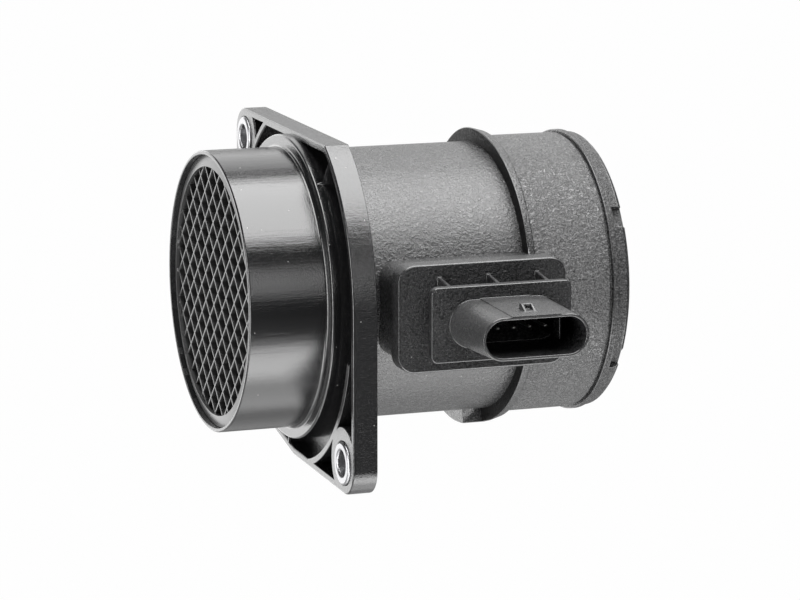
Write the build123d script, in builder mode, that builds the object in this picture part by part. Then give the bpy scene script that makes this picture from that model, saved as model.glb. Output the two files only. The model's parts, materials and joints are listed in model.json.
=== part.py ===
from build123d import *
from math import atan2, degrees, sqrt
import os

# Mass airflow sensor. Millimetres.
# The origin is on the duct axis at the shoulder of the inlet spigot.
# +X runs downstream, the connector points along -Y and +Z is up.

# Duct
spigot_r = 35.0
spigot_length = 19.7
lip_wall = 1.0
duct_bore_r = 31.2
collar_r = 38.1
collar_step = 2.3
body_r = 34.0
body_length = 41.8
ring_r = 37.6
ring_back_r = 36.7
ring_width = 3.2
ring_lean = 1.3
stop_pad_length = 4.8
stop_pad_angles = (259.5, 292.0)
rear_r = 35.2
rear_length = 20.6
bead_r = 35.9
bead_crest = 1.6
lip_r = 35.2
lip_width = 3.4
lip_chamfer = 0.9
groove_width = 0.5
groove_depth = 0.4
mouth_round = 0.3
edge_round = 0.3

# Notches in the bead
notch_angles = (31.0, 149.0, 211.0, 329.0)
notch_width = 5.2
notch_length = 2.8
notch_depth = 1.5

# Flange
flange_t = 6.2
flange_web = 1.8
flange_side = 46.5
flange_rim = 1.7
flange_top = 38.9
flange_dip = 43.2
far_foot_drop = 37.2
ear_y = 38.9
upper_ear_z = 32.4
lower_ear_z = -36.75
ear_margin = 7.45
ear_corner_r = 6.9
boss_r = 8.9
arc_rib_r = 44.1
arc_rib_t = 1.8
arc_rib_angles = ((15.0, 120.0), (195.0, 275.0))
cross_rib_t = 1.0
cross_rib_angles = (129.4, 309.4, 275.7)

# Bushes
bush_r = 5.3
bush_bore_r = 3.2
bush_proud = 0.6
bush_chamfer = 0.4
press_gap = 0.02

# Flow grid
grid_depth = 4.0
grid_ring_w = 3.0
grid_ring_rise = 0.7
grid_recess = 0.8
grid_pitch = 4.86
grid_bar = 0.55
grid_turn = 45.0
grid_gap = 0.05

# Electronics box on the housing
box_gap = 5.0
box_length = 41.8
box_height = 23.3
box_corner_r = 4.5
box_wall = 2.6
box_reach = 43.7
box_floor_t = 3.3
box_foot = 25.0
slot_gap = 0.4

# Seal between box and plate
seal_width = 1.2
seal_height = 1.0
seal_inset = 0.7
seal_gap = 0.05

# Connector plate and shelf
module_z = -0.65
plate_t = 5.3
plate_over_x = 0.6
plate_over_z = 1.5
plate_corner_r = 4.2
standoff = 6.7
shelf_t = 2.3
shelf_length = 35.6
shelf_height = 18.2
shelf_corner_r = 1.7
shelf_shift = 1.4
core_length = 30.0
core_height = 12.0
rib_t = 1.1
rib_pitch = 12.5
rib_rise = 0.9

# Socket
socket_shift = 2.05
socket_depth = 20.5
socket_length = 26.6
socket_height = 10.3
socket_wall = 0.75
socket_taper = 1.2
socket_floor = 2.3
key_t = 0.6
key_w = 0.9
key_pitch = 7.8
key_back = 6.0
fin_t = 0.5
fin_drop = 6.4
fin_shift = 8.3
pad_width = 12.4
pad_rise = 0.2
nub_width = 3.2
nub_rise = 1.8
nub_length = 4.0
nub_back = 3.6
nub_wall = 0.8
nub_floor = 0.25
nub_crest = 1.2

# Terminals
terminal_count = 4
terminal_pitch = 4.0
terminal_shift = 0.3
terminal_rise = 0.55
terminal_w = 1.0
terminal_t = 0.64
terminal_reach = 8.0
terminal_foot = 1.6
terminal_point = 0.2
terminal_gap = 0.03

# Measuring arm
arm_length = 53.7
arm_width = 20.0
arm_t = 8.0
arm_nose_r = 1.6
arm_wall = 1.7
arm_floor = 1.5
arm_root = 1.6
cover_t = 1.2
cover_gap = 0.05
cover_split = 1.0
ledge_w = 0.8

# Circuit board and what it carries
board_length = 21.5
board_t = 0.8
board_gap = 0.15
asic_size = 6.0
asic_t = 1.2
capacitor_w = 1.6
capacitor_l = 3.2
capacitor_t = 1.5
capacitor_pitch = 4.4
asic_back = 9.0
capacitor_back = 15.4

# Bypass channel and sensing element
channel_mouth = 8.0
channel_throat = 5.4
channel_height = 3.6
channel_wall = 3.0
holder_w = 5.0
holder_t = 0.5
holder_overlap = 2.4
element_w = 3.2
element_t = 0.4

# Air temperature probe at the arm's tip
window_w = 10.0
window_l = 5.0
window_wall = 2.4
probe_r = 1.1
probe_l = 3.8
probe_bevel = 0.6
lead_r = 0.2
lead_seat = 1.2
lead_gap = 0.03

# Stations along the duct
mouth_x = -spigot_length
flange_x = collar_step
body_x = flange_x + flange_t
ring_x = body_x + body_length
rear_x = ring_x + ring_width
bead_x = rear_x + rear_length
lip_x = bead_x + bead_crest
end_x = lip_x + lip_width
grid_seat_r = spigot_r - lip_wall
grid_front_x = mouth_x + grid_recess
grid_back_x = grid_front_x + grid_ring_rise + grid_depth

# Stations of the module, measured from the duct axis towards the connector
box_x = body_x + box_gap + box_length / 2
box_bottom = duct_bore_r + box_floor_t
plate_front = box_reach + plate_t
shelf_back = plate_front + standoff
shelf_front = shelf_back + shelf_t
socket_mouth = shelf_front + socket_depth
socket_bottom = shelf_front + socket_floor
shelf_x = box_x + shelf_shift
socket_x = box_x + socket_shift
ear_sites = ((ear_y, upper_ear_z), (-ear_y, lower_ear_z))

# Stations of the measuring arm
arm_top = module_z + arm_t / 2
arm_bottom = module_z - arm_t / 2
cover_bottom = arm_top - cover_t
terminal_z = module_z + terminal_rise
board_top = terminal_z - terminal_t / 2
board_w = arm_width - 2 * arm_wall - 2 * board_gap
board_y0 = -box_reach + arm_root + board_gap
pocket_y0 = -box_reach + arm_root
pocket_y1 = board_y0 + board_length + board_gap
channel_y = pocket_y1 + channel_wall + channel_mouth / 2
window_y = channel_y + channel_mouth / 2 + window_wall + window_l / 2
terminal_x0 = socket_x + terminal_shift - (terminal_count - 1) / 2 * terminal_pitch
terminal_xs = [terminal_x0 + i * terminal_pitch for i in range(terminal_count)]

os.makedirs("parts", exist_ok=True)


def save(part, name):
    """Label a finished piece and write it."""
    part.label = name
    export_step(part, f"parts/{name}.step")


def flange_corners():
    """Near top corner and far foot corner, where the straight edges meet the side arcs."""
    near_top = (-sqrt(flange_side**2 - flange_top**2), flange_top)
    far_foot = (sqrt(flange_side**2 - far_foot_drop**2), -far_foot_drop)
    return near_top, far_foot


def draw_flange():
    """Flange face in Y and Z: two arcs about the duct, two straight ears, rounded ear corners."""
    near_top, far_foot = flange_corners()
    near_angle = degrees(atan2(near_top[1], near_top[0]))
    far_angle = degrees(atan2(far_foot[1], far_foot[0]))
    with BuildSketch(Plane.YZ) as face:
        with BuildLine():
            far_side = Line((flange_side, 0), (flange_side, upper_ear_z + ear_margin))
            far_top = Line(far_side @ 1, (ear_y, upper_ear_z + ear_margin))
            Line(far_top @ 1, near_top)
            CenterArc((0, 0), flange_side, near_angle, 180 - near_angle)
            near_side = Line((-flange_side, 0), (-flange_side, lower_ear_z - ear_margin))
            near_foot = Line(near_side @ 1, (-ear_y, lower_ear_z - ear_margin))
            dip = Line(near_foot @ 1, (0, -flange_dip))
            Line(dip @ 1, far_foot)
            CenterArc((0, 0), flange_side, far_angle, -far_angle)
        make_face()
        for y, z in ear_sites:
            toward = 1 if y > 0 else -1
            corner = (flange_side * toward, z + ear_margin * toward)
            fillet(face.vertices().sort_by_distance((corner[0], corner[1], 0))[0], ear_corner_r)
    return face.sketch_local


def draw_pockets(face):
    """What is cored out of the flange: the face less its rim, collar, bosses and ribs."""
    with BuildSketch(Plane.YZ) as pockets:
        add(face)
        offset(amount=-flange_rim, mode=Mode.REPLACE, kind=Kind.INTERSECTION)
        Circle(collar_r, mode=Mode.SUBTRACT)
        with Locations(*ear_sites):
            Circle(boss_r, mode=Mode.SUBTRACT)
        for angles in arc_rib_angles:
            outer_r = arc_rib_r + arc_rib_t / 2
            add(draw_sector(outer_r, outer_r - arc_rib_t, angles), mode=Mode.SUBTRACT)
        for angle in cross_rib_angles:
            with Locations(Rotation(0, 0, angle)):
                Rectangle(flange_side, cross_rib_t, align=(Align.MIN, Align.CENTER), mode=Mode.SUBTRACT)
    return pockets.sketch_local


def draw_sector(outer_r, inner_r, angles):
    """Part of an annulus between two angles, counted from +Y towards +Z."""
    start, end = angles
    with BuildSketch(Plane.YZ) as sector:
        with BuildLine():
            outer = CenterArc((0, 0), outer_r, start, end - start)
            inner = CenterArc((0, 0), inner_r, start, end - start)
            Line(outer @ 0, inner @ 0)
            Line(outer @ 1, inner @ 1)
        make_face()
    return sector.sketch_local


def build_ring():
    """Ring with its root in the duct's wall. Its front face leans back from the mould's parting plane."""
    front_x = ring_x - edge_round
    root_r = (duct_bore_r + body_r) / 2
    reach = ring_r + edge_round
    with BuildPart() as ring:
        with BuildSketch(Plane.XZ):
            with BuildLine():
                Polyline(
                    (front_x, root_r),
                    (front_x, ring_r),
                    (ring_x, ring_r),
                    (rear_x, ring_back_r),
                    (rear_x, root_r),
                    close=True,
                )
            make_face()
        revolve(axis=Axis.X)
        with BuildSketch(Plane.XY.offset(-reach)):
            with BuildLine():
                Polyline(
                    (ring_x + ring_lean, reach),
                    (ring_x, 0),
                    (ring_x + ring_lean, -reach),
                    (front_x - edge_round, -reach),
                    (front_x - edge_round, reach),
                    close=True,
                )
            make_face()
        extrude(amount=2 * reach, mode=Mode.SUBTRACT)
    return ring.part


def build_housing():
    """One moulding: spigot, collar, flange, body, ring, rear bead and the electronics box."""
    face = draw_flange()
    pockets = draw_pockets(face)
    ring = build_ring()
    with BuildPart() as housing:
        with BuildSketch(Plane.XZ) as section:
            with BuildLine():
                Polyline(
                    (mouth_x, 0),
                    (mouth_x, spigot_r),
                    (0, spigot_r),
                    (0, collar_r),
                    (body_x, collar_r),
                    (body_x, body_r),
                    (rear_x, body_r),
                    (rear_x, rear_r),
                    (bead_x - groove_width, rear_r),
                    (bead_x - groove_width, rear_r - groove_depth),
                    (bead_x, rear_r - groove_depth),
                    (bead_x, bead_r),
                    (lip_x, bead_r),
                    (lip_x, lip_r),
                    (end_x - lip_chamfer, lip_r),
                    (end_x, lip_r - lip_chamfer),
                    (end_x, 0),
                    close=True,
                )
            make_face()
        revolve(axis=Axis.X)
        round_edges = housing.edges().filter_by(GeomType.CIRCLE)
        chamfer(round_edges.group_by(Axis.X)[0], mouth_round)

        # Ring, and the stop pad that stands in front of it
        add(ring)
        with BuildSketch(Plane.YZ.offset(ring_x - stop_pad_length)):
            add(draw_sector(ring_r, duct_bore_r, stop_pad_angles))
        extrude(amount=stop_pad_length + ring_lean)

        # Flange with its cored pockets and bush holes
        with BuildSketch(Plane.YZ.offset(flange_x)):
            add(face)
        extrude(amount=flange_t)
        with BuildSketch(Plane.YZ.offset(flange_x)):
            add(pockets)
        extrude(amount=flange_t - flange_web, mode=Mode.SUBTRACT)
        with BuildSketch(Plane.YZ.offset(flange_x)):
            with Locations(*ear_sites):
                Circle(bush_r + press_gap)
        extrude(amount=flange_t, mode=Mode.SUBTRACT)

        # Electronics box, standing on the body and open towards the connector
        with BuildSketch(Plane.XZ.offset(box_reach)):
            with Locations((box_x, module_z)):
                RectangleRounded(box_length, box_height, box_corner_r)
        extrude(amount=-(box_reach - box_foot))
        with BuildSketch(Plane.XZ.offset(box_reach)):
            with Locations((box_x, module_z)):
                RectangleRounded(
                    box_length - 2 * box_wall, box_height - 2 * box_wall, box_corner_r - box_wall
                )
        extrude(amount=-(box_reach - box_bottom), mode=Mode.SUBTRACT)
        with BuildSketch(Plane.XZ.offset(box_reach)):
            with Locations((box_x, module_z)):
                draw_seal(seal_width)
        extrude(amount=-seal_height, mode=Mode.SUBTRACT)
        with BuildSketch(Plane.XZ.offset(box_bottom)):
            with Locations((socket_x, module_z)):
                RectangleRounded(arm_width + 2 * slot_gap, arm_t + 2 * slot_gap, arm_nose_r)
        extrude(amount=-box_bottom, mode=Mode.SUBTRACT)

        # Bore, with the seat that the flow grid is pressed into
        with BuildSketch(Plane.YZ.offset(mouth_x)):
            Circle(duct_bore_r)
        extrude(amount=end_x - mouth_x, mode=Mode.SUBTRACT)
        with BuildSketch(Plane.YZ.offset(mouth_x)):
            Circle(grid_seat_r)
        extrude(amount=grid_back_x - mouth_x, mode=Mode.SUBTRACT)

        # Notches in the bead
        for angle in notch_angles:
            with BuildSketch(Plane.YZ.offset(end_x - notch_length)):
                with Locations(Rotation(0, 0, angle)):
                    with Locations((lip_r, 0)):
                        Rectangle(2 * notch_depth, notch_width)
            extrude(amount=notch_length, mode=Mode.SUBTRACT)
    save(housing.part, "housing")


def draw_seal(width):
    """Closed track of the seal in the rim of the box, drawn about the sketch's own origin."""
    inset = 2 * seal_inset + (seal_width - width)
    outer_r = box_corner_r - inset / 2
    RectangleRounded(box_length - inset, box_height - inset, outer_r)
    RectangleRounded(
        box_length - inset - 2 * width,
        box_height - inset - 2 * width,
        outer_r - width,
        mode=Mode.SUBTRACT,
    )


def build_seal():
    with BuildPart() as seal:
        with BuildSketch(Plane.XZ.offset(box_reach - seal_height + seal_gap)):
            with Locations((box_x, module_z)):
                draw_seal(seal_width - 2 * seal_gap)
        extrude(amount=seal_height - seal_gap)
    save(seal.part, "module_seal")


def build_grid():
    """Ring with a sloping front face, and a square lattice turned by an eighth of a turn."""
    ring_r = grid_seat_r - grid_gap
    clear_r = ring_r - grid_ring_w
    bars = int(2 * ring_r / grid_pitch) + 1
    with BuildPart() as grid:
        with BuildSketch(Plane.XZ) as section:
            with BuildLine():
                Polyline(
                    (grid_front_x, clear_r),
                    (grid_front_x + grid_ring_rise, ring_r),
                    (grid_back_x, ring_r),
                    (grid_back_x, clear_r),
                    close=True,
                )
            make_face()
        revolve(axis=Axis.X)
        with BuildSketch(Plane.YZ.offset(grid_front_x + grid_ring_rise)):
            with GridLocations(grid_pitch, 0, bars, 1):
                Rectangle(grid_bar, 2 * ring_r)
            with GridLocations(0, grid_pitch, 1, bars):
                Rectangle(2 * ring_r, grid_bar)
            Circle(clear_r + grid_ring_w / 2, mode=Mode.INTERSECT)
        extrude(amount=grid_depth)
    save(grid.part.rotate(Axis.X, grid_turn), "flow_grid")


def build_bush(y, z, name):
    with BuildPart() as bush:
        with BuildSketch(Plane.YZ.offset(flange_x - bush_proud)):
            with Locations((y, z)):
                Circle(bush_r)
                Circle(bush_bore_r, mode=Mode.SUBTRACT)
        extrude(amount=flange_t + bush_proud)
        chamfer(bush.faces().sort_by(Axis.X)[0].edges(), bush_chamfer)
    save(bush.part, name)


def draw_racetrack(length, height):
    """Slot outline of the socket, drawn about its centre."""
    with Locations((socket_x, module_z)):
        SlotOverall(length, height)


def build_module():
    """One moulding: plate, core, ribs, shelf, socket and the measuring arm."""
    plate_l = box_length + 2 * plate_over_x
    plate_h = box_height + 2 * plate_over_z
    shelf_top = module_z + shelf_height / 2
    shelf_foot = module_z - shelf_height / 2
    rib_foot = module_z - core_height / 4
    with BuildPart() as module:
        with BuildSketch(Plane.XZ.offset(box_reach)):
            with Locations((box_x, module_z)):
                RectangleRounded(plate_l, plate_h, plate_corner_r)
        extrude(amount=plate_t)
        chamfer(module.faces().sort_by(Axis.Y)[0].edges(), edge_round)
        with BuildSketch(Plane.XZ.offset(plate_front)):
            with Locations((shelf_x, module_z)):
                Rectangle(core_length, core_height)
        extrude(amount=standoff)
        for i in (-1, 0, 1):
            with BuildSketch(Plane.YZ.offset(shelf_x + i * rib_pitch - rib_t / 2)):
                with BuildLine():
                    Polyline(
                        (-plate_front, rib_foot),
                        (-plate_front, shelf_top + rib_rise),
                        (-shelf_back, shelf_top),
                        (-shelf_back, rib_foot),
                        close=True,
                    )
                make_face()
                with BuildLine():
                    Polyline(
                        (-plate_front, module_z),
                        (-plate_front, shelf_foot - rib_rise),
                        (-shelf_back, shelf_foot),
                        (-shelf_back, module_z),
                        close=True,
                    )
                make_face()
            extrude(amount=rib_t)
        with BuildSketch(Plane.XZ.offset(shelf_back)):
            with Locations((shelf_x, module_z)):
                RectangleRounded(shelf_length, shelf_height, shelf_corner_r)
        extrude(amount=shelf_t)

        # Socket shell, a little wider at its root
        with BuildSketch(Plane.XZ.offset(shelf_front)):
            draw_racetrack(socket_length + socket_taper, socket_height + socket_taper)
        with BuildSketch(Plane.XZ.offset(socket_mouth)):
            draw_racetrack(socket_length, socket_height)
        loft()
        with BuildSketch(Plane.XZ.offset(shelf_front)):
            with Locations((socket_x, module_z)):
                pad_foot = (socket_height + socket_taper) / 2 + pad_rise
                Rectangle(pad_width, pad_foot, align=(Align.CENTER, Align.MIN))
        with BuildSketch(Plane.XZ.offset(socket_mouth)):
            with Locations((socket_x, module_z)):
                Rectangle(pad_width, socket_height / 2 + pad_rise, align=(Align.CENTER, Align.MIN))
        loft()

        # Latch nub: a ramp that is open in front, between two side walls and the crest
        nub_y = -(socket_mouth - nub_back)
        nub_z = module_z + socket_height / 2
        with BuildSketch(Plane.YZ.offset(socket_x - nub_width / 2)):
            with BuildLine():
                Polyline(
                    (nub_y, nub_z - pad_rise),
                    (nub_y, nub_z + pad_rise),
                    (nub_y + nub_length - nub_crest, nub_z + nub_rise),
                    (nub_y + nub_length, nub_z + nub_rise),
                    (nub_y + nub_length, nub_z - pad_rise),
                    close=True,
                )
            make_face()
        extrude(amount=nub_width)
        with BuildSketch(Plane.YZ.offset(socket_x - nub_width / 2 + nub_wall)):
            with BuildLine():
                Polyline(
                    (nub_y - nub_wall, nub_z + pad_rise + nub_floor),
                    (nub_y - nub_wall, nub_z + 2 * nub_rise),
                    (nub_y + nub_length - nub_crest, nub_z + 2 * nub_rise),
                    (nub_y + nub_length - nub_crest, nub_z + pad_rise + nub_floor),
                    close=True,
                )
            make_face()
        extrude(amount=nub_width - 2 * nub_wall, mode=Mode.SUBTRACT)

        # Cavity of the socket, plain at the mouth, with two keys and a fin further in
        cavity_l = socket_length - 2 * socket_wall
        cavity_h = socket_height - 2 * socket_wall
        with BuildSketch(Plane.XZ.offset(socket_mouth - key_back)):
            draw_racetrack(cavity_l, cavity_h)
        extrude(amount=key_back, mode=Mode.SUBTRACT)
        with BuildSketch(Plane.XZ.offset(socket_bottom)):
            draw_racetrack(cavity_l, cavity_h)
            with Locations((socket_x, module_z + cavity_h / 2)):
                with GridLocations(key_pitch, 0, 2, 1):
                    Rectangle(key_w, 2 * key_t, mode=Mode.SUBTRACT)
                with Locations((fin_shift, 0)):
                    Rectangle(fin_t, 2 * fin_drop, mode=Mode.SUBTRACT)
        extrude(amount=socket_mouth - key_back - socket_bottom, mode=Mode.SUBTRACT)

        # Measuring arm
        with BuildSketch(Plane.XZ.offset(box_reach)):
            with Locations((socket_x, module_z)):
                RectangleRounded(arm_width, arm_t, arm_nose_r)
        extrude(amount=-arm_length)

        # Board pocket with a ledge all round, then the two cover recesses
        pocket_l = pocket_y1 - pocket_y0
        inner_w = board_w + 2 * board_gap
        with BuildSketch(Plane.XY.offset(arm_top)):
            with Locations((socket_x, pocket_y0)):
                Rectangle(inner_w, pocket_l, align=(Align.CENTER, Align.MIN))
        extrude(amount=-(arm_top - board_top + board_t), mode=Mode.SUBTRACT)
        with BuildSketch(Plane.XY.offset(board_top)):
            with Locations((socket_x, pocket_y0 + ledge_w)):
                Rectangle(inner_w - 2 * ledge_w, pocket_l - 2 * ledge_w, align=(Align.CENTER, Align.MIN))
        extrude(amount=-(board_top - arm_bottom - arm_floor), mode=Mode.SUBTRACT)
        for spot in cover_spots():
            with BuildSketch(Plane.XY.offset(arm_top)):
                draw_cover(spot, cover_gap)
            extrude(amount=-cover_t, mode=Mode.SUBTRACT)

        # Bypass channel, narrowing to a throat
        with BuildSketch(Plane.XY.offset(cover_bottom)):
            add(draw_channel())
        extrude(amount=-channel_height, mode=Mode.SUBTRACT)

        # Slot for the element's holder, through the wall between board and channel
        with BuildSketch(Plane.XZ.offset(-pocket_y1 + board_gap)):
            with Locations((socket_x, board_top + holder_t / 2)):
                Rectangle(holder_w + 2 * cover_gap, holder_t + 2 * cover_gap)
        extrude(amount=-(channel_wall + channel_mouth / 2 + board_gap), mode=Mode.SUBTRACT)

        # Window for the temperature probe and the seats of its leads
        with BuildSketch(Plane.XY.offset(arm_top)):
            with Locations((socket_x, window_y)):
                RectangleRounded(window_w, window_l, ledge_w)
        extrude(amount=-arm_t, mode=Mode.SUBTRACT)
        with BuildSketch(Plane.YZ.offset(socket_x - window_w / 2 - lead_seat)):
            with Locations((window_y, module_z)):
                Circle(lead_r + lead_gap)
        extrude(amount=window_w + 2 * lead_seat, mode=Mode.SUBTRACT)

        # Slots that the terminals stand in
        with BuildSketch(Plane.XZ.offset(socket_bottom)):
            with Locations(*[(x, terminal_z) for x in terminal_xs]):
                Rectangle(terminal_w + 2 * terminal_gap, terminal_t + 2 * terminal_gap)
        extrude(amount=-(socket_bottom + pocket_y0), mode=Mode.SUBTRACT)
    save(module.part, "sensor_module")


def cover_spots():
    """Start and end of the board cover and of the bypass cover along Y."""
    split = pocket_y1 + channel_wall / 2
    start = pocket_y0 - arm_root / 2
    end = channel_y + channel_mouth / 2 + window_wall / 2
    return ((start, split - cover_split / 2), (split + cover_split / 2, end))


def draw_cover(spot, grow):
    """Outline of one cover, larger by the gap where it is the recess."""
    start, end = spot
    with Locations((socket_x, (start + end) / 2)):
        RectangleRounded(arm_width - arm_wall + 2 * grow, end - start + 2 * grow, ledge_w)


def draw_channel():
    """Bypass channel seen from above: both long walls bow in towards the throat."""
    start = socket_x - arm_width / 2 - ledge_w
    end = socket_x + arm_width / 2 + ledge_w
    wide = channel_mouth / 2
    narrow = channel_throat / 2
    with BuildSketch(Plane.XY) as channel:
        with BuildLine():
            lower = ThreePointArc(
                (start, channel_y - wide), (socket_x, channel_y - narrow), (end, channel_y - wide)
            )
            upper = ThreePointArc(
                (end, channel_y + wide), (socket_x, channel_y + narrow), (start, channel_y + wide)
            )
            Line(lower @ 1, upper @ 0)
            Line(upper @ 1, lower @ 0)
        make_face()
    return channel.sketch_local


def build_covers():
    for spot, name in zip(cover_spots(), ("board_cover", "bypass_cover")):
        with BuildPart() as cover:
            with BuildSketch(Plane.XY.offset(cover_bottom)):
                draw_cover(spot, 0)
            extrude(amount=cover_t)
        save(cover.part, name)


def build_terminals():
    """Blades that run from the socket through the plate and end flat on the board."""
    outer = socket_bottom + terminal_reach
    inner = -board_y0 - terminal_foot
    for i, x in enumerate(terminal_xs):
        with BuildPart() as terminal:
            with BuildSketch(Plane.XZ.offset(inner)):
                with Locations((x, terminal_z)):
                    Rectangle(terminal_w, terminal_t)
            extrude(amount=outer - inner)
            chamfer(terminal.faces().sort_by(Axis.Y)[0].edges(), terminal_point)
        save(terminal.part, f"terminal_{i + 1}")


def build_block(name, x, y, z, width, length, height):
    """Flat part standing on the plane z, centred in X and Y."""
    with BuildPart() as block:
        with BuildSketch(Plane.XY.offset(z)):
            with Locations((x, y)):
                Rectangle(width, length)
        extrude(amount=height)
    save(block.part, name)


def build_electronics():
    board_y = board_y0 + board_length / 2
    build_block("circuit_board", socket_x, board_y, board_top - board_t, board_w, board_length, board_t)
    asic_y = board_y0 + asic_back
    build_block("signal_chip", socket_x, asic_y, board_top, asic_size, asic_size, asic_t)
    for i in (1, 2, 3):
        x = socket_x + (i - 2) * capacitor_pitch
        y = board_y0 + capacitor_back
        build_block(f"capacitor_{i}", x, y, board_top, capacitor_w, capacitor_l, capacitor_t)
    holder_y0 = board_y0 + board_length - holder_overlap
    holder_y1 = channel_y + element_w / 2 + ledge_w
    holder_y = (holder_y0 + holder_y1) / 2
    build_block("element_holder", socket_x, holder_y, board_top, holder_w, holder_y1 - holder_y0, holder_t)
    holder_top = board_top + holder_t
    build_block("sensing_element", socket_x, channel_y, holder_top, element_w, element_w, element_t)


def build_probe():
    """Temperature bead in the window at the tip, hung between two leads."""
    with BuildPart() as bead:
        with BuildSketch(Plane.YZ.offset(socket_x - probe_l / 2)):
            with Locations((window_y, module_z)):
                Circle(probe_r)
        extrude(amount=probe_l)
        chamfer(bead.edges().filter_by(GeomType.CIRCLE), probe_bevel)
    save(bead.part, "temperature_bead")
    reach = window_w / 2 + lead_seat - probe_l / 2 - lead_gap
    for start, name in ((-probe_l / 2 - reach, "bead_lead_1"), (probe_l / 2, "bead_lead_2")):
        with BuildPart() as lead:
            with BuildSketch(Plane.YZ.offset(socket_x + start)):
                with Locations((window_y, module_z)):
                    Circle(lead_r)
            extrude(amount=reach)
        save(lead.part, name)


build_housing()
build_grid()
build_bush(*ear_sites[0], "bush_upper")
build_bush(*ear_sites[1], "bush_lower")
build_seal()
build_module()
build_covers()
build_terminals()
build_electronics()
build_probe()
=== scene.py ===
import bpy
import bmesh
import json
import math
from mathutils import Matrix, Vector
from mathutils.geometry import intersect_point_line

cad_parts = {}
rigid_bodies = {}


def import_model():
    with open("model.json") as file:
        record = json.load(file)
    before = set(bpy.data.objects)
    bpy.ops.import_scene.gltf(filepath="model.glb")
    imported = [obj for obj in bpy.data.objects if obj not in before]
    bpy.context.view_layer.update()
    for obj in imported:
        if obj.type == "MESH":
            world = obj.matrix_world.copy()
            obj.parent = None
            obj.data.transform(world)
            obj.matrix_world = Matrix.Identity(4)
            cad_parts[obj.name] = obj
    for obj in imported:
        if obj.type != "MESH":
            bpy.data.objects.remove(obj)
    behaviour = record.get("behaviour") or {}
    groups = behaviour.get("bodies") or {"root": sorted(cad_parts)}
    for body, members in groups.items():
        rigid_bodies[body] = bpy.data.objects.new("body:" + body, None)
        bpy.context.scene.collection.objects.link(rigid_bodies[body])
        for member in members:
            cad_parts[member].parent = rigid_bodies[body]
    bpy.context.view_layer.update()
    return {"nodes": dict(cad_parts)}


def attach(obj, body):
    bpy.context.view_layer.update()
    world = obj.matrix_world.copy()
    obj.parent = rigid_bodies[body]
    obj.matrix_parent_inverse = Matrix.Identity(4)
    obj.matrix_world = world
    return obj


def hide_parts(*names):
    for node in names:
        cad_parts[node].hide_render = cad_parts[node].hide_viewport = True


for old in list(bpy.data.objects):
    bpy.data.objects.remove(old)

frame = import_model()
nodes = frame["nodes"]
scene = bpy.context.scene
MM = 0.001

# Places on the part, in metres. The duct's axis is X, and x is 0 at the spigot's shoulder.
SPIGOT_RADIUS = 35.0 * MM
COLLAR_RADIUS = 38.1 * MM
FLANGE_RADIUS = 38.5 * MM
FLANGE_X = 2.3 * MM
BODY_X = 8.5 * MM
RING_FRONT_X = (50.0 * MM, 52.2 * MM)
RING_FOOT_RADIUS = 34.3 * MM
REAR_X = 53.5 * MM
BEAD_X = 74.1 * MM
BORE_REACH = 34.0 * MM
LATTICE_X = min(v.co.x for v in nodes["flow_grid"].data.vertices) + 0.7 * MM
SOCKET_MOUTH = min(v.co.y for v in nodes["sensor_module"].data.vertices)
SOCKET_FOOT = SOCKET_MOUTH + 20.5 * MM
rim = [v.co for v in nodes["sensor_module"].data.vertices if v.co.y < SOCKET_MOUTH + 0.1 * MM]
SOCKET_X = (min(v.x for v in rim) + max(v.x for v in rim)) / 2
SOCKET_Z = (min(v.z for v in rim) + max(v.z for v in rim)) / 2

# How far from such a place something still counts as there, in metres
NEAR_RADIUS = 0.3 * MM
NEAR_SHOULDER = 0.5 * MM
NEAR_FLANGE = 0.2 * MM
NEAR_BEAD = 0.3 * MM
NEAR_FOOT = 0.05 * MM
NEAR_MOUTH = 1.0 * MM

# Where the duct's grain grows stronger, and by how much
FLANGE_GRAIN = 0.1
BODY_GRAIN = 0.4
GRAIN_STEPS = (
    (FLANGE_X, FLANGE_GRAIN),
    (BODY_X, BODY_GRAIN - FLANGE_GRAIN),
    (REAR_X, 1.0 - BODY_GRAIN),
)
STEP_BLUR = 0.2 * MM

# Noise: how many finer layers it has, how strong they are, its middle and its usual ranges
PLAIN = 1.0
SOFT = 2.0
DETAILED = 3.0
EVEN = 0.55
NOISE_MIDDLE = 0.5
MIDDLE_NOISE = (0.35, 0.65)
MOST_NOISE = (0.3, 0.7)

# Moulded plastic. Sizes and depths are in millimetres, ranges in units of the noise.
GRAIN_RANGE = (0.74, 1.06)
GRAIN_ROUGHNESS = 0.6
FINE_SHARE = 0.4
FINE_WEIGHT = 0.8
SPECK_MM = 0.48
SPECK_RANGE = (0.52, 0.66)
SWELL_MM = 3.0
SWELL_SHARE = 1.8
CLOUD_MM = 16.0
DRAG_MM = 0.9
DRAG_STRETCH = (0.05, 1, 1)
DRAG_DETAIL = 4.0
DRAG_ROUGHNESS = 0.7
DRAG_DEPTH = 0.035
HAZE_DEPTH = 0.032
HAIR_MM = 7.0
HAIR_WIDTH = 0.006
HAIR_DEPTH = 0.03
PATCH_SHARE = 0.6
PATCH_RANGE = (0.5, 0.6)
DUST_MM = 3.6
DUST_RANGE = (0.025, 0.045)
DUST = (0.32, 0.32, 0.31)
POLISHED_ROUGH = 0.12
SMEAR_RANGE = (0.7, 1.3)
ROUGH_SWING = 0.03
PEAK_SWING = 0.06
SEAM_REACH = (0.1 * MM, 0.3 * MM)
SEAM_DEPTH = 0.2

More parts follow.
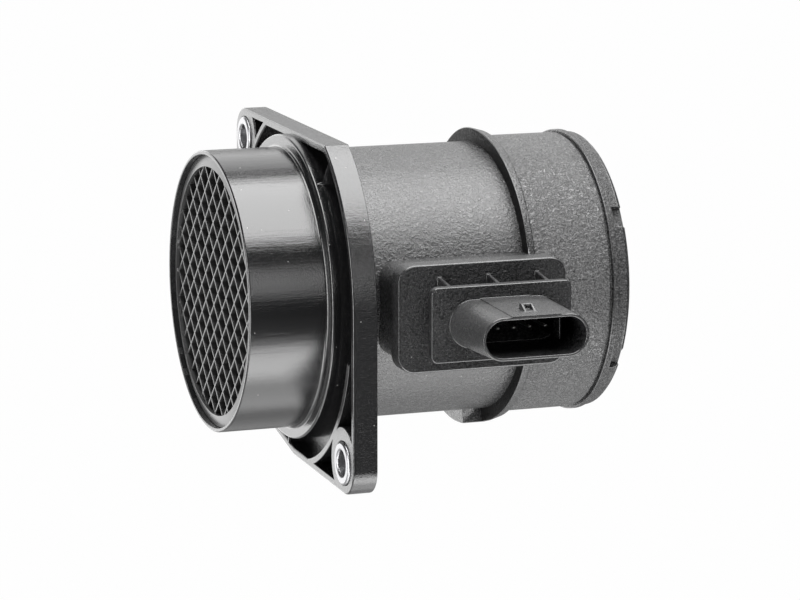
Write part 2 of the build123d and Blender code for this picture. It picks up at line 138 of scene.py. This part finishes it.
# The grid's plastic, the minerals and the metals
GRID_GRAIN_MM = 0.8
GRID_BUMP_MM = 0.008
GRID_RAGGED = 0.1 * MM
GRID_FADE = 0.35 * MM
# Colour of the bars' front, lighter as painted light, and of the cells, darker as painted shade
GRID_PAINTED_LIGHT = (0.06, 0.06, 0.06)
GRID_PAINTED_SHADE = (0.004, 0.004, 0.004)
GRID_ROUGH = (0.28, 0.6)
GRID_SPECULAR = 0.8
MINERAL_SWING = 0.05
METAL_LINE_MM = 0.5
METAL_BUMP_MM = 0.005
METAL_SMOOTHER = 0.06
METAL_ROUGHER = 0.08

# Rounding of edges
MERGE_GAP = 1e-6
FLAT = math.radians(0.8)
SHARP = math.radians(24)
RUNS_ON = math.cos(math.radians(25))
SIDEWAYS = 0.5
NO_LIMIT = 1.0
EDGE_SHARE = 0.42
WIDEST_MM = 1.3
NORMAL_WEIGHT = 60
COLLAR_FILLET_MM = 0.8
COLLAR_ROUND_MM = 0.6
FLANGE_ROUND_MM = 0.5

# Which way a face looks, as the share of its normal
LEANS_FORWARD = 0.3
FACES_AXIS = 0.8
FACES_UP = 0.5
FACES_PLUG = 0.9

# Camera at the photograph's angle, in degrees, millimetres of lens and metres
AZIMUTH = -19.796
ELEVATION = 10.710
LENS = 155.94
SENSOR = 36
CAMERA_PLACE = (-0.260701, -0.810098, 0.157463)
CLIP_START = 0.05
CLIP_END = 100

# Studio
CENTRE = (0.0, 0.0, 0.0)
WORLD_LEVEL = 0.09
FLOOR_Z = -0.75
FLOOR_HALF = 15.0
FLOOR_CLOUD_MM = 650.0
FLOOR_TONE = (0.44, 0.48)
FLOOR_ROUGH = 0.8
FLOOR_WHITE = 0.99


# Nodes of materials
def add_node(tree, kind, **values):
    node = tree.nodes.new(kind)
    for key, value in values.items():
        setattr(node, key, value)
    return node


def new_material(name):
    """A material, its node tree, its shader and the place on the object in metres."""
    mat = bpy.data.materials.new(name)
    mat.use_nodes = True
    tree = mat.node_tree
    place = add_node(tree, "ShaderNodeTexCoord").outputs["Object"]
    return mat, tree, tree.nodes["Principled BSDF"], place


def along_duct(tree, place):
    axis = add_node(tree, "ShaderNodeSeparateXYZ")
    tree.links.new(place, axis.inputs["Vector"])
    return axis.outputs["X"]


def noise(tree, vector, size_mm, detail=DETAILED, roughness=EVEN):
    """Noise whose features are about size_mm wide, read from a vector in metres."""
    node = add_node(tree, "ShaderNodeTexNoise")
    node.inputs["Scale"].default_value = 1 / (size_mm * MM)
    node.inputs["Detail"].default_value = detail
    node.inputs["Roughness"].default_value = roughness
    tree.links.new(vector, node.inputs["Vector"])
    return node.outputs["Fac"]


def ramp(tree, source, low, high, low_value=0.0, high_value=1.0):
    """A value that goes from low_value to high_value as the source goes from low to high."""
    node = add_node(tree, "ShaderNodeMapRange")
    node.inputs["From Min"].default_value = low
    node.inputs["From Max"].default_value = high
    node.inputs["To Min"].default_value = low_value
    node.inputs["To Max"].default_value = high_value
    tree.links.new(source, node.inputs["Value"])
    return node.outputs["Result"]


def calc(tree, operation, first, second=0.0):
    """Result of a Math node whose inputs are numbers or sockets."""
    node = add_node(tree, "ShaderNodeMath", operation=operation)
    for socket, value in zip(node.inputs, (first, second)):
        if isinstance(value, (int, float)):
            socket.default_value = value
        else:
            tree.links.new(value, socket)
    return node.outputs[0]


def plus(tree, first, second):
    return calc(tree, "ADD", first, second)


def minus(tree, first, second):
    return calc(tree, "SUBTRACT", first, second)


def times(tree, first, second):
    return calc(tree, "MULTIPLY", first, second)


def distance(tree, value, centre):
    return calc(tree, "ABSOLUTE", minus(tree, value, centre))


def mix_colour(tree, factor, first, second):
    """Colour between two colours, each a tuple or a socket."""
    node = add_node(tree, "ShaderNodeMix", data_type="RGBA")
    for socket, value in zip((node.inputs[6], node.inputs[7]), (first, second)):
        if isinstance(value, tuple):
            socket.default_value = (*value, 1)
        else:
            tree.links.new(value, socket)
    tree.links.new(factor, node.inputs[0])
    return node.outputs[2]


def stretched(tree, vector, scale):
    node = add_node(tree, "ShaderNodeMapping")
    node.inputs["Scale"].default_value = scale
    tree.links.new(vector, node.inputs["Vector"])
    return node.outputs["Vector"]


def add_bump(tree, shader, height, depth_mm):
    bump = add_node(tree, "ShaderNodeBump")
    bump.inputs["Strength"].default_value = 1.0
    bump.inputs["Distance"].default_value = depth_mm * MM
    tree.links.new(height, bump.inputs["Height"])
    tree.links.new(bump.outputs["Normal"], shader.inputs["Normal"])


# Materials
def plastic(name, dark, light, speck, rough, grain_mm, depth_mm, specular=1.0, zoned=False):
    """Moulded black plastic with an eroded grain, painted shade in its pits and painted light on its tops,
    light specks on its peaks, scratches and dust.

    A zoned one is polished on the spigot and grained in the steps of GRAIN_STEPS behind it.
    Any other is grained all over.
    """
    mat, tree, shader, place = new_material(name)
    coarse = noise(tree, place, grain_mm, SOFT, GRAIN_ROUGHNESS)
    fine = noise(tree, place, grain_mm * FINE_SHARE, SOFT, GRAIN_ROUGHNESS)
    pebbles = ramp(tree, plus(tree, coarse, times(tree, fine, FINE_WEIGHT)), *GRAIN_RANGE)
    cloud = noise(tree, place, CLOUD_MM, SOFT)
    drag = noise(tree, stretched(tree, place, DRAG_STRETCH), DRAG_MM, DRAG_DETAIL, DRAG_ROUGHNESS)

    # How much of the grain shows
    grained = 1.0
    if zoned:
        x = along_duct(tree, place)
        grained = 0.0
        for start, share in GRAIN_STEPS:
            step = ramp(tree, x, start - STEP_BLUR, start + STEP_BLUR, 0.0, share)
            grained = plus(tree, grained, step)

    # Hairline scratches, where a broad noise crosses its middle
    line = distance(tree, noise(tree, place, HAIR_MM, PLAIN), NOISE_MIDDLE)
    patchy = ramp(tree, noise(tree, place, CLOUD_MM * PATCH_SHARE, PLAIN), *PATCH_RANGE)
    hair = times(tree, ramp(tree, line, 0.0, HAIR_WIDTH, 1.0, 0.0), patchy)

    # Colour
    dots = add_node(tree, "ShaderNodeTexVoronoi")
    dots.inputs["Scale"].default_value = 1 / (DUST_MM * MM)
    tree.links.new(place, dots.inputs["Vector"])
    dust = ramp(tree, dots.outputs["Distance"], *DUST_RANGE, 1.0, 0.0)
    peaks = ramp(tree, noise(tree, place, SPECK_MM, SOFT, GRAIN_ROUGHNESS), *SPECK_RANGE)
    # The colour follows the grain's height: painted shade darker in its pits, painted light on its tops
    tone = mix_colour(tree, times(tree, pebbles, grained), dark, light)
    tone = mix_colour(tree, times(tree, peaks, grained), tone, speck)
    tree.links.new(mix_colour(tree, dust, tone, DUST), shader.inputs["Base Color"])

    # Roughness
    base = ramp(tree, grained, 0, BODY_GRAIN, POLISHED_ROUGH, rough) if zoned else rough
    smear = ramp(tree, plus(tree, cloud, drag), *SMEAR_RANGE, -ROUGH_SWING, ROUGH_SWING)
    worn = times(tree, grained, ramp(tree, pebbles, 0, 1, PEAK_SWING, -PEAK_SWING))
    tree.links.new(plus(tree, plus(tree, base, smear), worn), shader.inputs["Roughness"])

    # Height
    swell = times(tree, noise(tree, place, SWELL_MM, SOFT), SWELL_SHARE * depth_mm)
    scored = minus(tree, times(tree, pebbles, depth_mm), times(tree, hair, HAIR_DEPTH))
    height = plus(tree, scored, swell)
    if zoned:
        seam = ramp(tree, distance(tree, x, REAR_X), *SEAM_REACH, SEAM_DEPTH, 0.0)
        drawn = plus(tree, times(tree, drag, DRAG_DEPTH), times(tree, fine, HAZE_DEPTH))
        polished = times(tree, drawn, minus(tree, 1.0, grained))
        height = plus(tree, times(tree, minus(tree, height, seam), grained), polished)
    add_bump(tree, shader, height, 1.0)
    shader.inputs["Specular IOR Level"].default_value = specular
    return mat


def lattice(name):
    """Black plastic of the grid: painted light on the front of its bars, painted shade dark in the cells.
    """
    mat, tree, shader, place = new_material(name)
    grain = noise(tree, place, GRID_GRAIN_MM, SOFT)
    behind = minus(tree, along_duct(tree, place), LATTICE_X)
    ragged = ramp(tree, grain, *MOST_NOISE, 0.0, GRID_RAGGED)
    # From the bars' front into the cells the colour goes from painted light to painted shade
    deep = ramp(tree, plus(tree, behind, ragged), 0.0, GRID_FADE)
    tree.links.new(mix_colour(tree, deep, GRID_PAINTED_LIGHT, GRID_PAINTED_SHADE), shader.inputs["Base Color"])
    tree.links.new(ramp(tree, deep, 0, 1, *GRID_ROUGH), shader.inputs["Roughness"])
    add_bump(tree, shader, grain, GRID_BUMP_MM)
    shader.inputs["Specular IOR Level"].default_value = GRID_SPECULAR
    return mat


def mottled(tree, shader, pattern, dark, light, rough_range, bump_mm):
    """Colour, roughness and bump of a shader that all follow one pattern."""
    tone = mix_colour(tree, ramp(tree, pattern, *MIDDLE_NOISE), dark, light)
    tree.links.new(tone, shader.inputs["Base Color"])
    rough = ramp(tree, pattern, *MOST_NOISE, *rough_range)
    tree.links.new(rough, shader.inputs["Roughness"])
    add_bump(tree, shader, pattern, bump_mm)


def mineral(name, dark, light, rough, grain_mm, depth_mm):
    """Ceramic, resin or laminate: fine mottled colour with a slight grain."""
    mat, tree, shader, place = new_material(name)
    grain = noise(tree, place, grain_mm, roughness=GRAIN_ROUGHNESS)
    rough_range = (rough - MINERAL_SWING, rough + MINERAL_SWING)
    mottled(tree, shader, grain, dark, light, rough_range, depth_mm)
    return mat


def metal(name, dark, light, rough, stretch):
    """Machined or plated metal with fine drawn lines and slightly uneven polish."""
    mat, tree, shader, place = new_material(name)
    lines = noise(tree, stretched(tree, place, stretch), METAL_LINE_MM)
    rough_range = (rough - METAL_SMOOTHER, rough + METAL_ROUGHER)
    mottled(tree, shader, lines, dark, light, rough_range, METAL_BUMP_MM)
    shader.inputs["Metallic"].default_value = 1.0
    return mat


duct_black = plastic(
    "duct_black", dark=(0.008, 0.008, 0.0085), light=(0.05, 0.05, 0.051), speck=(0.11, 0.11, 0.111),
    rough=0.28, grain_mm=0.75, depth_mm=0.15, zoned=True,
)
duct_edge = plastic(
    "duct_edge", dark=(0.008, 0.008, 0.0085), light=(0.03, 0.03, 0.031), speck=(0.06, 0.06, 0.061),
    rough=0.2, grain_mm=0.75, depth_mm=0.02, zoned=True,
)
# The ring's leaning front face gets painted shade: a much darker, duller plastic than the duct's
ring_shade = plastic(
    "ring_shade", dark=(0.002, 0.002, 0.002), light=(0.006, 0.006, 0.006), speck=(0.015, 0.015, 0.015),
    rough=0.6, grain_mm=0.75, depth_mm=0.1, specular=0.22,
)
bead_black = plastic(
    "bead_black", dark=(0.005, 0.005, 0.0055), light=(0.03, 0.03, 0.031), speck=(0.08, 0.08, 0.081),
    rough=0.27, grain_mm=0.75, depth_mm=0.12, specular=0.55,
)
bore_black = plastic(
    "bore_black", dark=(0.008, 0.008, 0.0085), light=(0.016, 0.016, 0.0165), speck=(0.03, 0.03, 0.031),
    rough=0.32, grain_mm=0.6, depth_mm=0.015, specular=0.6,
)
# Smoother plastic of the socket and of the module's upward faces, whose lighter colour is painted light
socket_painted_light = plastic(
    "socket_painted_light", dark=(0.032, 0.032, 0.0325), light=(0.05, 0.05, 0.051), speck=(0.07, 0.07, 0.071),
    rough=0.3, grain_mm=0.6, depth_mm=0.03, specular=0.75,
)
module_black = plastic(
    "module_black", dark=(0.002, 0.002, 0.0025), light=(0.01, 0.01, 0.011), speck=(0.05, 0.05, 0.051),
    rough=0.36, grain_mm=0.8, depth_mm=0.28, specular=0.34,
)
module_edge = plastic(
    "module_edge", dark=(0.012, 0.012, 0.0125), light=(0.025, 0.025, 0.026), speck=(0.04, 0.04, 0.041),
    rough=0.2, grain_mm=0.6, depth_mm=0.01,
)
seal_black = plastic(
    "seal_black", dark=(0.01, 0.01, 0.01), light=(0.018, 0.018, 0.018), speck=(0.02, 0.02, 0.02),
    rough=0.6, grain_mm=0.3, depth_mm=0.008, specular=0.5,
)
chip_black = plastic(
    "chip_black", dark=(0.012, 0.012, 0.013), light=(0.02, 0.02, 0.021), speck=(0.025, 0.025, 0.025),
    rough=0.5, grain_mm=0.2, depth_mm=0.008, specular=0.5,
)
grid_black = lattice("grid_black")
board_green = mineral(
    "board_green", dark=(0.02, 0.12, 0.05), light=(0.03, 0.16, 0.07),
    rough=0.4, grain_mm=0.4, depth_mm=0.01,
)
capacitor_tan = mineral(
    "capacitor_tan", dark=(0.34, 0.25, 0.15), light=(0.45, 0.34, 0.22),
    rough=0.45, grain_mm=0.4, depth_mm=0.01,
)
ceramic_white = mineral(
    "ceramic_white", dark=(0.7, 0.7, 0.68), light=(0.82, 0.82, 0.8),
    rough=0.3, grain_mm=0.4, depth_mm=0.005,
)
bead_resin = mineral(
    "bead_resin", dark=(0.03, 0.05, 0.04), light=(0.05, 0.08, 0.06),
    rough=0.2, grain_mm=0.6, depth_mm=0.01,
)
bush_steel = metal(
    "bush_steel", dark=(0.36, 0.36, 0.37), light=(0.52, 0.52, 0.53), rough=0.34, stretch=(1, 6, 6)
)
tin_plate = metal(
    "tin_plate", dark=(0.8, 0.79, 0.77), light=(0.92, 0.91, 0.89), rough=0.4, stretch=(4, 1, 4)
)
lead_wire = metal("lead_wire", dark=(0.6, 0.6, 0.6), light=(0.75, 0.75, 0.75), rough=0.3, stretch=(1, 1, 1))


# Pieces
def direction(edge):
    return (edge.verts[1].co - edge.verts[0].co).normalized()


def clearances(sharp):
    """For each sharp edge, how far the nearest other sharp edge of its two faces lies to its side."""
    found = {}
    chosen = set(sharp)
    for edge in sharp:
        middle = (edge.verts[0].co + edge.verts[1].co) / 2
        along = direction(edge)
        near = NO_LIMIT
        for face in edge.link_faces:
            for other in face.edges:
                if other is edge or other not in chosen or set(other.verts) & set(edge.verts):
                    continue
                start, end = (vert.co for vert in other.verts)
                share = intersect_point_line(middle, start, end)[1]
                gap = start.lerp(end, min(max(share, 0.0), 1.0)) - middle
                if gap.length < near and abs(gap.normalized().dot(along)) < SIDEWAYS:
                    near = gap.length
        found[edge] = near
    return found


def chains(sharp):
    """Groups of sharp edges that run on into each other without a corner."""
    chosen = set(sharp)
    seen = set()
    groups = []
    for first in sharp:
        if first in seen:
            continue
        group = []
        queue = [first]
        seen.add(first)
        while queue:
            edge = queue.pop()
            group.append(edge)
            along = direction(edge)
            for vert in edge.verts:
                for other in vert.link_edges:
                    if other not in chosen or other in seen:
                        continue
                    if abs(direction(other).dot(along)) > RUNS_ON:
                        seen.add(other)
                        queue.append(other)
        groups.append(group)
    return groups


def dressed(
    node, name, material, round_mm, inner_mm=0.0, segments=2,
    special=None, edge_material=None, painted=(),
):
    """Stand-in for a CAD node whose flat facets are joined and whose edges are rounded.

    Outer edges are rounded by round_mm, and inner ones by inner_mm. special gives a place its own
    rounding: it takes an edge's middle and returns millimetres or None. edge_material is the
    rounded edges' own. painted holds pairs of a material and a test that picks its faces.
    """
    bm = bmesh.new()
    bm.from_mesh(nodes[node].data)
    bmesh.ops.remove_doubles(bm, verts=bm.verts, dist=MERGE_GAP)
    bmesh.ops.dissolve_limit(bm, angle_limit=FLAT, verts=bm.verts, edges=bm.edges)
    layer = bm.edges.layers.float.new("bevel_weight_edge")
    sharp = [e for e in bm.edges if e.is_manifold and e.calc_face_angle(0) > SHARP]
    gaps = clearances(sharp)
    for group in chains(sharp):
        middle = (group[0].verts[0].co + group[0].verts[1].co) / 2
        outward = sum(1 if edge.is_convex else -1 for edge in group) > 0
        wanted = (special(middle) if special else None) or (round_mm if outward else inner_mm)
        width = min(wanted * MM, EDGE_SHARE * min(gaps[e] for e in group))
        for edge in group:
            edge[layer] = width / (WIDEST_MM * MM)
            edge.smooth = width > 0

    # Material 0 is the piece's own and 1 the rounded edges', and the painted ones follow
    for face in bm.faces:
        face.material_index = 0
        for number, (_, test) in enumerate(painted, start=2):
            if test(face):
                face.material_index = number
    mesh = bpy.data.meshes.new(name)
    bm.to_mesh(mesh)
    bm.free()
    for used in (material, edge_material or material, *(paint for paint, _ in painted)):
        mesh.materials.append(used)
    mesh.polygons.foreach_set("use_smooth", [True] * len(mesh.polygons))
    piece = bpy.data.objects.new(name, mesh)
    scene.collection.objects.link(piece)

    bevel = piece.modifiers.new("rounded", "BEVEL")
    bevel.limit_method = "WEIGHT"
    bevel.offset_type = "OFFSET"
    bevel.width = WIDEST_MM * MM
    bevel.segments = segments
    bevel.use_clamp_overlap = False
    bevel.material = 1
    weighted = piece.modifiers.new("weighted", "WEIGHTED_NORMAL")
    weighted.weight = NORMAL_WEIGHT
    weighted.keep_sharp = True
    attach(piece, "root")
    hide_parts(node)


def duct_rounding(middle):
    """Fillet where the collar stands on the duct, and rounder front edges on collar and flange."""
    radius = math.hypot(middle.y, middle.z)
    if abs(middle.x) < NEAR_SHOULDER:
        if abs(radius - SPIGOT_RADIUS) < NEAR_RADIUS:
            return COLLAR_FILLET_MM
        if abs(radius - COLLAR_RADIUS) < NEAR_RADIUS:
            return COLLAR_ROUND_MM
    if radius > FLANGE_RADIUS and abs(middle.x - FLANGE_X) < NEAR_FLANGE:
        return FLANGE_ROUND_MM
    return None


def ring_front(face):
    """Whether a face is the leaning front of the ring."""
    start, end = RING_FRONT_X
    between = start < face.verts[0].co.x < end
    far = max(math.hypot(v.co.y, v.co.z) for v in face.verts)
    return between and far > RING_FOOT_RADIUS and face.normal.x < -LEANS_FORWARD


def bead_face(face):
    """Whether a face belongs to the bead at the outlet's end."""
    return min(v.co.x for v in face.verts) > BEAD_X - NEAR_BEAD


def bore_face(face):
    """Whether a face of the housing lies in the bore."""
    spot = face.verts[0].co
    radius = math.hypot(spot.y, spot.z)
    outward = spot.y * face.normal.y + spot.z * face.normal.z
    return radius < BORE_REACH and outward < -FACES_AXIS * radius


def socket_and_painted_light_face(face):
    """Whether a face of the module is polished and gets a lighter colour as painted light: the outside of
    the plug socket, and what faces up.
    """
    spot = face.calc_center_median()
    # Behind the socket, faces that look up get the lighter colour as painted light from above
    if spot.y > SOCKET_FOOT - NEAR_FOOT:
        return face.normal.z > FACES_UP
    if face.normal.y < -FACES_PLUG:
        return spot.y < SOCKET_MOUTH + NEAR_MOUTH
    return (spot.x - SOCKET_X) * face.normal.x + (spot.z - SOCKET_Z) * face.normal.z > 0


dressed(
    "housing", "duct_moulding", duct_black,
    round_mm=0.22, segments=3, special=duct_rounding, edge_material=duct_edge,
    painted=((ring_shade, ring_front), (bead_black, bead_face), (bore_black, bore_face)),
)
dressed(
    "sensor_module", "connector_moulding", module_black,
    round_mm=0.3, inner_mm=0.2, segments=3,
    edge_material=module_edge, painted=((socket_painted_light, socket_and_painted_light_face),),
)
dressed("flow_grid", "inlet_grid", grid_black, round_mm=0.09, segments=1)
dressed("bush_upper", "upper_bush", bush_steel, round_mm=0.15)
dressed("bush_lower", "lower_bush", bush_steel, round_mm=0.15)
for number in range(1, 5):
    dressed(f"terminal_{number}", f"blade_{number}", tin_plate, round_mm=0.18)

for node, material in (
    ("module_seal", seal_black),
    ("board_cover", module_black),
    ("bypass_cover", module_black),
    ("circuit_board", board_green),
    ("signal_chip", chip_black),
    ("element_holder", ceramic_white),
    ("sensing_element", ceramic_white),
    ("temperature_bead", bead_resin),
    ("bead_lead_1", lead_wire),
    ("bead_lead_2", lead_wire),
    ("capacitor_1", capacitor_tan),
    ("capacitor_2", capacitor_tan),
    ("capacitor_3", capacitor_tan),
):
    nodes[node].data.materials.clear()
    nodes[node].data.materials.append(material)


# Camera
azimuth = math.radians(AZIMUTH)
elevation = math.radians(ELEVATION)
level = math.cos(elevation)
back = Vector((math.sin(azimuth) * level, -math.cos(azimuth) * level, math.sin(elevation)))
right = Vector((math.cos(azimuth), math.sin(azimuth), 0))
camera_data = bpy.data.cameras.new("camera")
camera_data.lens = LENS
camera_data.sensor_width = SENSOR
camera_data.clip_start = CLIP_START
camera_data.clip_end = CLIP_END
camera = bpy.data.objects.new("camera", camera_data)
scene.collection.objects.link(camera)
turn = Matrix((right, back.cross(right), back)).transposed().to_4x4()
camera.matrix_world = Matrix.Translation(CAMERA_PLACE) @ turn
scene.camera = camera


# Studio
def area_light(name, place, aim, width, height, radiance):
    """A rectangular lamp that the camera doesn't see, of the same radiance whatever its size."""
    data = bpy.data.lights.new(name, "AREA")
    data.shape = "RECTANGLE"
    data.size = width
    data.size_y = height
    data.energy = radiance * math.pi * width * height
    lamp = bpy.data.objects.new(name, data)
    scene.collection.objects.link(lamp)
    lamp.location = place
    lamp.rotation_mode = "QUATERNION"
    lamp.rotation_quaternion = (Vector(aim) - Vector(place)).to_track_quat("-Z", "Y")
    lamp.visible_camera = False


def make_world():
    """A dim world that is white to the camera."""
    world = bpy.data.worlds.new("studio")
    scene.world = world
    world.use_nodes = True
    tree = world.node_tree
    background = tree.nodes["Background"]
    background.inputs["Color"].default_value = (1, 1, 1, 1)
    path = add_node(tree, "ShaderNodeLightPath")
    shown = calc(tree, "MAXIMUM", path.outputs["Is Camera Ray"], path.outputs["Is Transmission Ray"])
    tree.links.new(ramp(tree, shown, 0, 1, WORLD_LEVEL, 1.0), background.inputs["Strength"])


def floor_material():
    """Matt grey that is white to the camera, but for a hint of the shadows."""
    mat, tree, shader, place = new_material("floor_white")
    shader.inputs["Roughness"].default_value = FLOOR_ROUGH
    tone = ramp(tree, noise(tree, place, FLOOR_CLOUD_MM), *MOST_NOISE, *FLOOR_TONE)
    tree.links.new(tone, shader.inputs["Base Color"])
    glow = add_node(tree, "ShaderNodeEmission")
    path = add_node(tree, "ShaderNodeLightPath")
    blend = add_node(tree, "ShaderNodeMixShader")
    white = ramp(tree, path.outputs["Is Camera Ray"], 0, 1, 0.0, FLOOR_WHITE)
    tree.links.new(white, blend.inputs["Fac"])
    tree.links.new(shader.outputs["BSDF"], blend.inputs[1])
    tree.links.new(glow.outputs["Emission"], blend.inputs[2])
    tree.links.new(blend.outputs["Shader"], tree.nodes["Material Output"].inputs["Surface"])
    return mat


# Softboxes overhead, white table below, a strip in front and one at the left, pale walls behind
area_light("top_box", (0.30, -0.225, 0.75), (0.30, -0.225, 0), 1.1, 0.95, 6.2)
area_light("top_back", (0.45, 0.99, 0.675), (0.45, 0.84, -0.465), 1.1, 1.16, 1.65)
area_light("back_wall", (0.47, 1.30, 0.22), CENTRE, 1.2, 0.5, 0.6)
area_light("back_left", (-0.45, 1.25, -0.05), CENTRE, 1.3, 1.3, 2.1)
area_light("table", (0.15, -0.20, -0.42), (0.15, -0.20, 0), 0.9, 0.56, 1.5)
area_light("table_front", (0.20, -0.375, -0.40), (0.20, -0.375, 0), 0.8, 0.37, 3.0)
area_light("front_strip", (0.26, -1.42, 0.38), CENTRE, 0.40, 0.56, 2.2)
area_light("left_strip", (-1.10, -0.38, -0.10), CENTRE, 0.5, 1.5, 5.5)
make_world()

corners = [(x * FLOOR_HALF, y * FLOOR_HALF, FLOOR_Z) for x, y in ((-1, -1), (1, -1), (1, 1), (-1, 1))]
floor_mesh = bpy.data.meshes.new("floor")
floor_mesh.from_pydata(corners, [], [(0, 1, 2, 3)])
floor_mesh.materials.append(floor_material())
floor = bpy.data.objects.new("floor", floor_mesh)
scene.collection.objects.link(floor)

scene.view_settings.view_transform = "Standard"
